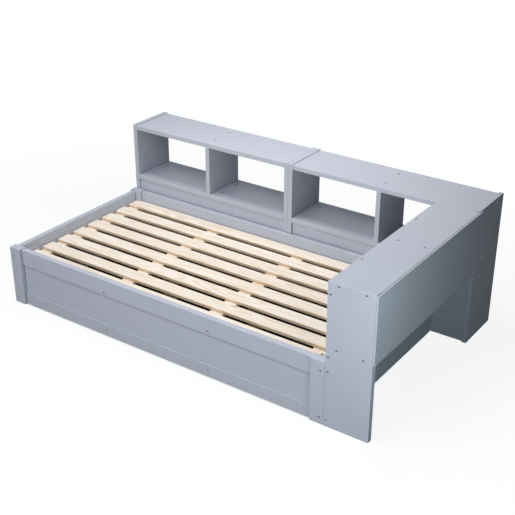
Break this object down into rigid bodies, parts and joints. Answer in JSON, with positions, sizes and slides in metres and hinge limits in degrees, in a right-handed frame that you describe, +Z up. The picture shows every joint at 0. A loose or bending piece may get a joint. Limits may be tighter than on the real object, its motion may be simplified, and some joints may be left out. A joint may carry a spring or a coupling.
{
  "type": "storage daybed",
  "caption": "Painted wooden daybed with a slatted deck, an open bookcase along its back and a storage unit across one end.",
  "frame": {"origin": "on the floor, under the middle of the bounding box", "axes": "+X along the bed towards the storage unit, +Y from the bed's front towards the bookcase, +Z up"},
  "size_m": [2.3, 1.35, 0.762],
  "materials": {
    "painted_wood": "satin grey-blue paint on solid boards, edges eased",
    "bare_pine": "unpainted planed pine",
    "screw_steel": "zinc plated"
  },
  "bodies": {
    "root": {"back_ledge": "bare_pine", "back_rail": "painted_wood", "batten_1": "bare_pine", "batten_2": "bare_pine", "batten_3": "bare_pine", "batten_4": "bare_pine", "bed_frame_screws": "screw_steel", "bookcase_screws": "screw_steel", "centre_left_leg": "bare_pine", "centre_right_leg": "bare_pine", "corner_cleat": "bare_pine", "front_bottom_rail": "painted_wood", "front_infill_panel": "painted_wood", "front_ledge": "bare_pine", "front_left_post": "painted_wood", "front_left_stile": "bare_pine", "front_right_post": "painted_wood", "front_right_stile": "bare_pine", "front_top_rail": "painted_wood", "left_end_rail": "painted_wood", "rear_left_post": "painted_wood", "rear_left_unit_divider": "painted_wood", "rear_left_unit_left_legs": "bare_pine", "rear_left_unit_left_panel": "painted_wood", "rear_left_unit_lower_panel": "painted_wood", "rear_left_unit_middle_legs": "bare_pine", "rear_left_unit_right_legs": "bare_pine", "rear_left_unit_right_panel": "painted_wood", "rear_left_unit_shelf": "painted_wood", "rear_left_unit_top": "painted_wood", "rear_right_post": "painted_wood", "rear_right_unit_divider": "painted_wood", "rear_right_unit_left_legs": "bare_pine", "rear_right_unit_left_panel": "painted_wood", "rear_right_unit_lower_panel": "painted_wood", "rear_right_unit_middle_legs": "bare_pine", "rear_right_unit_right_legs": "bare_pine", "rear_right_unit_right_panel": "painted_wood", "rear_right_unit_shelf": "painted_wood", "rear_right_unit_top": "painted_wood", "right_end_rail": "painted_wood", "side_apron": "painted_wood", "side_bottom_board": "painted_wood", "side_divider": "painted_wood", "side_front_face_rail": "painted_wood", "side_front_panel": "painted_wood", "side_lower_board": "painted_wood", "side_lower_rail": "painted_wood", "side_rear_face_rail": "painted_wood", "side_top_board": "painted_wood", "side_unit_screws": "screw_steel", "slat_1": "bare_pine", "slat_2": "bare_pine", "slat_3": "bare_pine", "slat_4": "bare_pine", "slat_5": "bare_pine", "slat_6": "bare_pine", "slat_7": "bare_pine", "slat_8": "bare_pine", "unit_joining_bolts": "screw_steel"}
  },
  "joints": []
}
